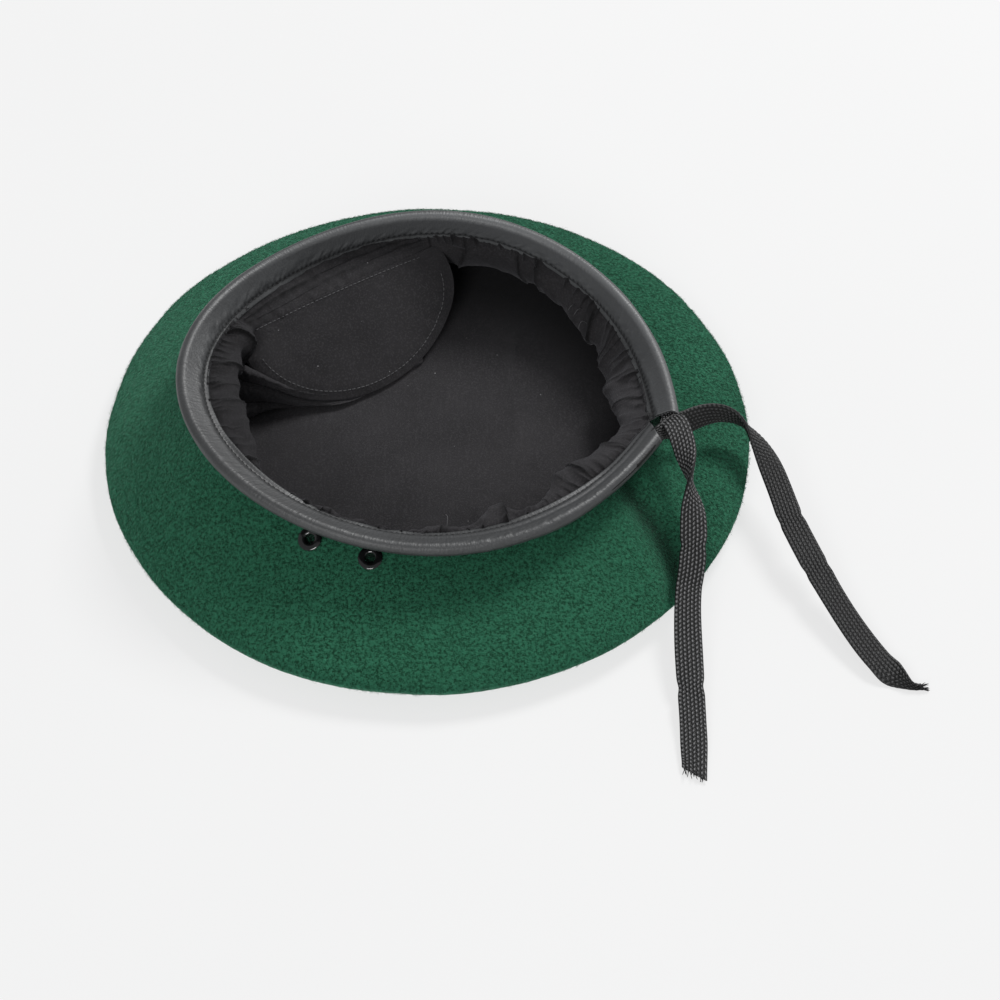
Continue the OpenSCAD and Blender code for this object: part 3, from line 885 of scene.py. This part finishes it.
def patch_outline(q):
    """The cover's outline in its own plane: 0 and 180 degrees are the ends of its straight edge."""
    x = (PATCH_R + 5.5) * cosd(q) + 0.5 + 2.5 * bell(q, -20, 25)
    y = -7.0 + (PATCH_R - 5.5) * sind(q)
    flat = smooth((y + 2.0) / 4.0)
    return x * (1 - 0.10 * flat * np.sign(x)), np.minimum(y, 0.0)


def patch_point(x, y, h):
    h = h[..., None] if np.ndim(h) else h
    return PATCH_AT + np.asarray(x)[..., None] * PATCH_X + np.asarray(y)[..., None] * PATCH_Y + h * PATCH_OUT


def patch_height(x, y):
    """The board lies flat under the cloth, and the cloth falls away softly outside it."""
    out = np.hypot(x / (PATCH_R + 5.5), (y + 7) / (PATCH_R - 5.5))
    rim = smooth((out - 0.82) / 0.22)
    round_u = np.degrees(np.arctan2(y + 7, x)) / 360
    puckers = 0.28 * lumps(round_u, 0 * x, 90, 1, 52) * bell(out, 0.93, 0.06)
    sag = 0.55 * lumps((x + 60) / 120, (y + 50) / 60, 6, 3, 51) + 0.15 * lumps((x + 60) / 120, (y + 50) / 60, 22, 9, 53)
    bow = 1.4 * (1 - (x / PATCH_R) ** 2) * smooth(-y / 20)
    return 1.3 + bow + sag + puckers - 1.5 * rim**2


def add_patch():
    count, rows = 420, 70
    q = 18 - np.arange(count)[:, None] * 360 / count
    x0, y0 = patch_outline(q)
    share = np.linspace(0.004, 1, rows)[None, :] ** 0.8
    cx, cy = 2.0, -16.0
    x, y = cx + (x0 - cx) * share, cy + (y0 - cy) * share
    roll = np.linspace(0, 1, 6)[None, 1:]
    top = patch_point(x, y, patch_height(x, y))
    edge_h = patch_height(x0, y0) - 1.4 * roll
    edge = patch_point(x0 + 0 * roll, y0 + 0 * roll, edge_h)
    under = patch_point(x[:, ::-8], y[:, ::-8], edge_h[:, -1:] + 0 * x[:, ::-8])
    points = np.concatenate([top, edge, under], 1)
    columns = points.shape[1]
    uv = np.concatenate([np.stack([x, y], -1), np.stack([x0 + 0 * roll, y0 - 0.3 * roll * 5], -1),
                         np.stack([x[:, ::-8], y[:, ::-8]], -1)], 1)
    faces = [grid_faces(count, columns, wrap_rows=True),
             cap_faces(np.arange(count) * columns, False),
             cap_faces(np.arange(count) * columns + columns - 1, True)]
    return add_mesh("badge_patch", points, np.concatenate(faces), LINING, replaces=["stiffener_cover"],
                    slot="lining", uvs=uv)


def dashes(x, y, pitch):
    """Cuts a line in the patch's plane into stitches that dip at both ends."""
    step = np.hypot(np.diff(x), np.diff(y))
    s = np.concatenate([[0], np.cumsum(step)])
    count = int(s[-1] / pitch)
    share = np.linspace(0.12, 0.88, 5)
    at = (np.arange(count)[:, None] + share[None, :]) * pitch
    px, py = np.interp(at, s, x), np.interp(at, s, y)
    dip = 0.16 * np.abs(2 * np.linspace(0, 1, 5) - 1) ** 3
    return patch_point(px, py, patch_height(px, py) + 0.14 - dip[None, :])


def add_patch_stitches():
    q = np.linspace(-6, -172, 400)
    x, y = patch_outline(q)
    inset = 0.885
    arc = dashes(2.0 + (x - 2.0) * inset, -16.0 + (y + 16.0) * inset, 2.1)
    line_x = np.linspace(-PATCH_R + 1.5, PATCH_R - 3.5, 300)
    line = dashes(line_x, -2.2 + 1.2 * (1 - (line_x / PATCH_R) ** 2), 2.1)
    add_tubes("patch_stitches", np.concatenate([arc, line]), 0.17, 6, WORN_THREAD, replaces=["cover_thread"],
              slot="thread")


SKIRT_TOP = ((-88, 26, 33), (-76, 23, 27), (-66, 22, 21), (-54, 22, 14), (-37, 27, 8), (-19, 38, 7), (-3, 49, 8))
SKIRT_LOW = ((-88, 10, 6), (-77, 13, 5.2), (-69, 18, 5.0), (-55, 20, 5.0), (-36, 22, 5.0), (-19, 32, 5.0), (-3, 45, 5.5))
SKIRT_OUT = (0.08, -0.72, 0.69)


def add_skirt():
    """The slack of the lining below the patch: folds that fan out from its left end and run to one ridge."""
    top, _ = through(SKIRT_TOP, 0.4)
    low, _ = through(SKIRT_LOW, 0.4)
    count, rows = 260, 70
    u = np.linspace(0, 1, count)[:, None]
    w = np.linspace(0, 1, rows)[None, :]

    def pick(line):
        at = u[:, 0] * (len(line) - 1)
        return np.stack([np.interp(at, np.arange(len(line)), line[:, axis]) for axis in range(3)], -1)[:, None, :]

    base = pick(top) * (1 - w[..., None]) + pick(low) * w[..., None]
    folds = 1 + 2 * (1 - smooth(u / 0.75))
    wave = np.abs(np.sin(math.pi * folds * (w**0.9 + 0.03 * lumps(u, w, 9, 3, 54)))) ** 0.6
    deep = 1.2 + 3.8 * (1 - smooth((u - 0.1) / 0.7))
    fan = 0.5 * lumps(u, w, 28, 5, 55) + 0.25 * lumps(u, w, 90, 9, 56)
    lift = deep * wave + fan * smooth(w / 0.1) * smooth((1 - w) / 0.1)
    front = base + lift[..., None] * np.array(SKIRT_OUT)
    back = front[:, ::-5] - 0.8 * np.array(SKIRT_OUT)
    points = np.concatenate([front, back], 1)
    columns = points.shape[1]
    uv = np.stack(np.broadcast_arrays(95 * u, 24 * np.arange(columns)[None, :] / rows), -1)
    faces = [grid_faces(count, columns, wrap_columns=True),
             cap_faces(np.arange(columns), True),
             cap_faces(np.arange(columns) + (count - 1) * columns, False)]
    return add_mesh("lining_slack", points, np.concatenate(faces), LINING, slot="lining", uvs=uv)


# ---- Drawcord ----

def link_centres(node, start):
    """Middles of a CAD cord link's sections, in order from the end nearest to start."""
    mesh = NODES[node].data
    co = np.round(np.array([v.co for v in mesh.vertices], float) / MM, 3)
    points, same = np.unique(co, axis=0, return_inverse=True)
    same = same.ravel()
    pairs = same[np.array([e.vertices for e in mesh.edges])]
    ring = set(np.argsort(np.linalg.norm(points - start, axis=1))[:4].tolist())
    seen, middles = set(), []
    while ring:
        middles.append(points[sorted(ring)].mean(0))
        seen |= ring
        touch = np.isin(pairs, sorted(ring)).any(1)
        ring = set(pairs[touch].ravel().tolist()) - seen
    return middles


def through(points, spacing):
    """A smooth curve through points, in even steps."""
    p = np.array(points, float)
    s = np.concatenate([[0], np.cumsum(np.linalg.norm(np.diff(p, axis=0), axis=1))])
    slope = np.gradient(p, s, axis=0)
    at = np.linspace(0, s[-1], max(int(s[-1] / spacing), 2))
    k = np.clip(np.searchsorted(s, at, side="right") - 1, 0, len(s) - 2)
    span = (s[k + 1] - s[k])[:, None]
    t = (at - s[k])[:, None] / span
    return ((1 + 2 * t) * (1 - t) ** 2 * p[k] + t * (1 - t) ** 2 * span * slope[k]
            + t * t * (3 - 2 * t) * p[k + 1] - t * t * (1 - t) * span * slope[k + 1]), at


RIBS = 7
LOOP_PITCH = 1.9


def cord_section(columns):
    """A flat strap once round: place across from -1 to 1 and back, and height from -1 to 1."""
    half = columns // 2
    across = np.linspace(-0.985, 0.985, half)
    height = np.sqrt(1 - np.abs(across) ** 5)
    return np.concatenate([across, across[::-1]]), np.concatenate([height, -height])


def braid_relief(across, along, face):
    """Rows of small slanting loops in ribs along the cord: 1 on a loop's crown, 0 in the gaps."""
    rib = np.clip((across + 1) / 2 * RIBS, 0, RIBS - 1e-6)
    k = np.floor(rib)
    over = np.sin(math.pi * (rib - k))
    hand = 1 - 2 * (k % 2)
    phase = along / LOOP_PITCH + 0.5 * (k % 2) + 0.28 * hand * (rib - k - 0.5) + 0.37 * face
    loop = np.abs(np.sin(math.pi * phase)) ** 0.9
    return over * (0.10 + 0.90 * loop)


def sweep_cord(path, along, width, roll, thick, columns=112):
    """Points of a braided cord, with a painted highlight on each loop's crown and painted shade in the gaps: width,
    roll and thickness are given along its path.
    """
    direction = unit(np.gradient(path, axis=0))
    flat = unit(np.cross([0.0, 0, 1], direction))
    up = np.cross(direction, flat)
    side = flat * cosd(roll)[:, None] + up * sind(roll)[:, None]
    lift = np.cross(direction, side)
    across, height = cord_section(columns)
    relief = braid_relief(across[None, :], along[:, None], (height < 0)[None, :])
    h = height * (thick[:, None] / 2 + 0.50 * (relief - 0.6))
    w = across * (width[:, None] / 2) + 0 * relief
    points = path[:, None, :] + w[..., None] * side[:, None, :] + h[..., None] * lift[:, None, :]
    low = points[..., 2].min(1)
    points[..., 2] += np.maximum(0.25 - low, 0)[:, None]
    # Painted highlight on the loops' crowns and painted shade in the gaps between them.
    return points, np.clip(1.4 * relief - 0.4, 0, 1) ** 3


def add_cord_part(name, points, painted_braid_light, first, last, **rest):
    block, tone = points[first:last + 1], painted_braid_light[first:last + 1]
    rows, columns, _ = block.shape
    faces = [grid_faces(rows, columns, wrap_columns=True),
             cap_faces(np.arange(columns), False),
             cap_faces(np.arange(columns) + (rows - 1) * columns, True)]
    return add_mesh(name, block, np.concatenate(faces), CORD, body=None, slot="cord", colours=tone, **rest)


def joint_at(name):
    return np.array(JOINTS[name]["pos_m"]) / MM


TAIL_W = 11.0
MOUTH_W = 6.2
# tone scales each tail's painted braid highlight; the far tail's lower tone is painted shade.
TAIL_LOOKS = {
    "near": {"twist_at": 0.41, "twist_half": 0.26, "roll_from": 0, "spread": 5.0, "pinch": 0.25, "tip_roll": 0, "tone": 1.0, "tube_roll": 35,
             "tip_taper": 0.12, "tip_slant": -3.0, "creases": (60.0, 121.0)},
    "far": {"twist_at": 0.50, "twist_half": 0.30, "roll_from": 62, "spread": 14.0, "pinch": 0.15, "tip_roll": 65, "tone": 0.3, "tube_roll": -32,
            "tip_taper": 0.75, "tip_slant": 1.0, "creases": (93.0, 118.0)},
}


def add_tail(side, inside, look):
    """One tail: out of the band's tube, over its lift joint and its bend joint, to a frayed tip."""
    lift, bend = joint_at(side + "_lift"), joint_at(side + "_bend")
    drape = link_centres(side + "_cord_drape", lift)
    end = link_centres(side + "_cord_end", bend)
    path, along = through([*inside, lift, *drape, bend, *end], 0.27)

    def where(p):
        return int(np.argmin(np.linalg.norm(path - p, axis=1)))

    at_mouth, at_lift, at_bend = where(inside[-1]), where(lift), where(bend)
    mouth, hang = along[at_mouth], along[at_bend] - along[at_mouth]
    twist, half = mouth + look["twist_at"] * hang, look["twist_half"] * hang
    roll = look["roll_from"] + (180 - look["roll_from"]) * smooth((along - twist + half) / (2 * half))
    roll = roll + (look["tube_roll"] - look["roll_from"]) * (1 - smooth((along - mouth + 5) / 9))
    roll = roll + look["tip_roll"] * smooth((along - along[-1] + 22) / 22)
    width = MOUTH_W + (TAIL_W - MOUTH_W) * smooth((along - mouth + 1.0) / look["spread"])
    width = width * (1 - look["pinch"] * bell(along, twist, 0.7 * half)) * (1 + 0.03 * np.sin(along / 9.0))
    thick = 1.35 + 0.9 * (1 - smooth((along - mouth) / 10)) + 0.8 * bell(along, twist, half)
    for at in look["creases"]:
        width = width * (1 - 0.10 * bell(along - mouth, at, 2.5))
        roll = roll + 9 * bell(along - mouth, at, 4.0)
    width = width * (1 - look["tip_taper"] * smooth((along - along[-1] + 16) / 16))
    points, painted_braid_light = sweep_cord(path, along, width, roll, thick)
    # Painted shade: the far tail's braid is darkened by its lower tone.
    painted_braid_light = painted_braid_light * look["tone"]
    across, _ = cord_section(points.shape[1])
    slant = look["tip_slant"] * smooth((along - along[-1] + 9) / 9)[:, None] * across[None, :]
    points = points + slant[..., None] * unit(path[-1] - path[-9])
    split_stub = (at_mouth + at_lift) // 2
    split_drape = (at_lift + at_bend) // 2
    nodes = {part: f"{side}_cord_{part}" for part in ("stub", "drape", "end")}
    root = add_cord_part(side + "_tail_root", points, painted_braid_light, 0, split_stub, replaces=[nodes["stub"]])
    middle = add_cord_part(side + "_tail_middle", points, painted_braid_light, split_stub, split_drape,
                           replaces=[nodes["drape"]])
    tip = add_cord_part(side + "_tail_tip", points, painted_braid_light, split_drape, len(path) - 1, replaces=[nodes["end"]])
    pull_body, lift_body, bend_body = side + "_stub", side + "_drape", side + "_end"
    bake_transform(root)
    for piece, a, b, joint, at in ((middle, pull_body, lift_body, lift, at_lift),
                                   (tip, lift_body, bend_body, bend, at_bend)):
        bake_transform(piece)
    add_fray(side, path, points, bend_body)


def add_fray(side, path, points, body):
    """Loose strands at the cut end of a tail."""
    rng = np.random.default_rng(61 if side == "near" else 62)
    last = points[-1]
    direction = unit(path[-1] - path[-6])
    strands = []
    for _ in range(34):
        root = last[rng.integers(len(last))] * 0.85 + last.mean(0) * 0.15 - direction * 1.0
        out = direction * rng.uniform(1.4, 3.4) + rng.normal(0, 0.7, 3)
        bow = rng.normal(0, 0.4, 3)
        t = np.linspace(0, 1, 6)[:, None]
        line = root + t * out + t * (1 - t) * bow
        line[:, 2] = np.maximum(line[:, 2], 0.25)
        strands.append(line)
    add_tubes(side + "_tail_fray", strands, 0.15, 5, THREAD, body=body, slot="cord")


CHANNEL_S = 9.4


def channel(angles):
    return [upright(*band_at(a, CHANNEL_S, 0), a) for a in angles]


def add_cord():
    near_inside = channel(np.linspace(MOUTH_START + 12, MOUTH_START + 0.3, 6))
    far_inside = channel(np.linspace(MOUTH_END - 12, MOUTH_END - 0.3, 6))
    add_tail("near", near_inside, TAIL_LOOKS["near"])
    add_tail("far", far_inside, TAIL_LOOKS["far"])
    path, along = through(channel(np.linspace(MOUTH_START + 11.5, MOUTH_END - 11.5, 200)), 0.9)
    lean = around(BAND[:, 0], BAND[:, 3], np.degrees(np.arctan2(path[:, 1], path[:, 0])))
    points, painted_braid_light = sweep_cord(path, along, 0 * along + 5.6, -lean, 0 * along + 1.7, 48)
    run = add_cord_part("band_cord", points, painted_braid_light, 0, len(path) - 1, replaces=["drawcord_run"])
    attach(run, "beret")


def add_bar_tack():
    """A short zigzag of thread that closes the band's corner at the mouth."""
    low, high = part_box("mouth_bar_tack")
    middle = np.array((low + high) / 2) / MM
    paths = []
    for k in range(9):
        x = (k - 4) * 0.33
        t = np.linspace(-1, 1, 6)
        lean = 0.35 * (-1) ** k
        paths.append(np.stack([middle[0] + x + lean * t * 0.5, middle[1] + 1.3 * t,
                               middle[2] - 0.8 + 0.25 * (1 - t * t)], -1))
    add_tubes("mouth_stitches", paths, 0.17, 6, THREAD, replaces=["mouth_bar_tack"], slot="thread")


def add_loose_threads():
    """Three thread ends that stick out of the lining's gathers."""
    rng = np.random.default_rng(71)
    paths = []
    for a, v, size in ((40, 0.30, 9.0), (43, 0.34, 7.0), (36, 0.36, 8.0), (277, 0.30, 11.0)):
        r, z = lining_surface(a, v)
        root = upright(r, z, a)
        inward = -upright(1.0, 0.0, a)
        t = np.linspace(0, 1, 12)[:, None]
        side = np.array([-sind(a), cosd(a), 0.0])
        bend = rng.normal(0, 1, 2)
        path = root + t * inward * size * 0.6 + np.sin(t * 3) * side * bend[0] * 2.0 + [0, 0, 1.0] * np.sin(t * 3.1) * 2.2
        paths.append(path)
    add_tubes("loose_threads", paths, 0.13, 5, WORN_THREAD, slot="thread")


# ---- Camera, light and floor ----

def add_camera():
    """Looks along +Y and down on the beret, with the lens as long as a product photograph's."""
    tilt = math.radians(90 - 49.657)
    distance = 1200.0
    aim = (30.28, -28.07, 0.0)
    camera = bpy.data.cameras.new("camera")
    camera.sensor_width = 36.0
    camera.lens = 103.76
    camera.clip_end = 20
    obj = bpy.data.objects.new("camera", camera)
    obj.location = [c * MM for c in (aim[0], aim[1] - distance * math.sin(tilt), distance * math.cos(tilt))]
    obj.rotation_euler = (tilt, 0, 0)
    bpy.context.scene.collection.objects.link(obj)
    bpy.context.scene.camera = obj


def add_floor():
    m = Nodes("paper_floor")
    tone = m.noise(3, 2)
    colour = m.mix(m.ramp(tone, 0.3, 0.7), (0.165, 0.165, 0.165), (0.175, 0.175, 0.175))
    material = m.finish(Base_Color=colour, Roughness=0.8, Specular_IOR_Level=0.1,
                        Emission_Color=(1.0, 1.0, 1.0), Emission_Strength=0.70,
                        Normal=m.bump(m.noise(900, 2), 0.00005, 0.2))
    size = 9000.0
    points = [[-size, -size, 0], [size, -size, 0], [size, size, 0], [-size, size, 0]]
    floor = add_mesh("floor", points, [[0, 1, 2, 3]], material, body=None)
    floor.location.z = -0.02 * MM


def add_lamp(name, place, size, power, aim=(0, 0, 20)):
    lamp = bpy.data.lights.new(name, "AREA")
    lamp.shape = "DISK"
    lamp.size = size * MM
    lamp.energy = power
    obj = bpy.data.objects.new(name, lamp)
    obj.location = [c * MM for c in place]
    facing = np.array(aim, float) - np.array(place, float)
    from_z = Vector(facing.tolist())
    obj.rotation_mode = "QUATERNION"
    obj.rotation_quaternion = from_z.to_track_quat("-Z", "Y")
    bpy.context.scene.collection.objects.link(obj)


def add_studio():
    scene = bpy.context.scene
    world = bpy.data.worlds.new("studio")
    scene.world = world
    world.use_nodes = True
    world.node_tree.nodes["Background"].inputs["Color"].default_value = (0.97, 0.985, 1.0, 1)
    world.node_tree.nodes["Background"].inputs["Strength"].default_value = 0.38
    add_lamp("key", (900, 1100, 1500), 700, 34)
    add_lamp("fill", (-500, -1700, 1300), 900, 19)
    scene.view_settings.view_transform = "Standard"
    scene.view_settings.look = "None"
    scene.view_settings.exposure = 0.0


def keep_cad_nodes():
    """The small hard pieces keep their CAD shapes and get real finishes."""
    finishes = {"vent_grommet_front": ENAMEL, "vent_grommet_rear": ENAMEL, "vent_washer_front": ENAMEL,
                "vent_washer_rear": ENAMEL, "badge_stiffener": BOARD, "crown_seam_thread": THREAD}
    for node, material in finishes.items():
        obj = NODES[node]
        obj.data.materials.clear()
        obj.data.materials.append(material)


add_shell()
add_fuzz()
add_band()
add_band_stitches()
add_side_lining()
add_crown()
add_patch()
add_patch_stitches()
add_skirt()
add_cord()
add_bar_tack()
add_loose_threads()
keep_cad_nodes()
add_camera()
add_floor()
add_studio()


def plain(box):
    return [[float(c) for c in corner] for corner in box]
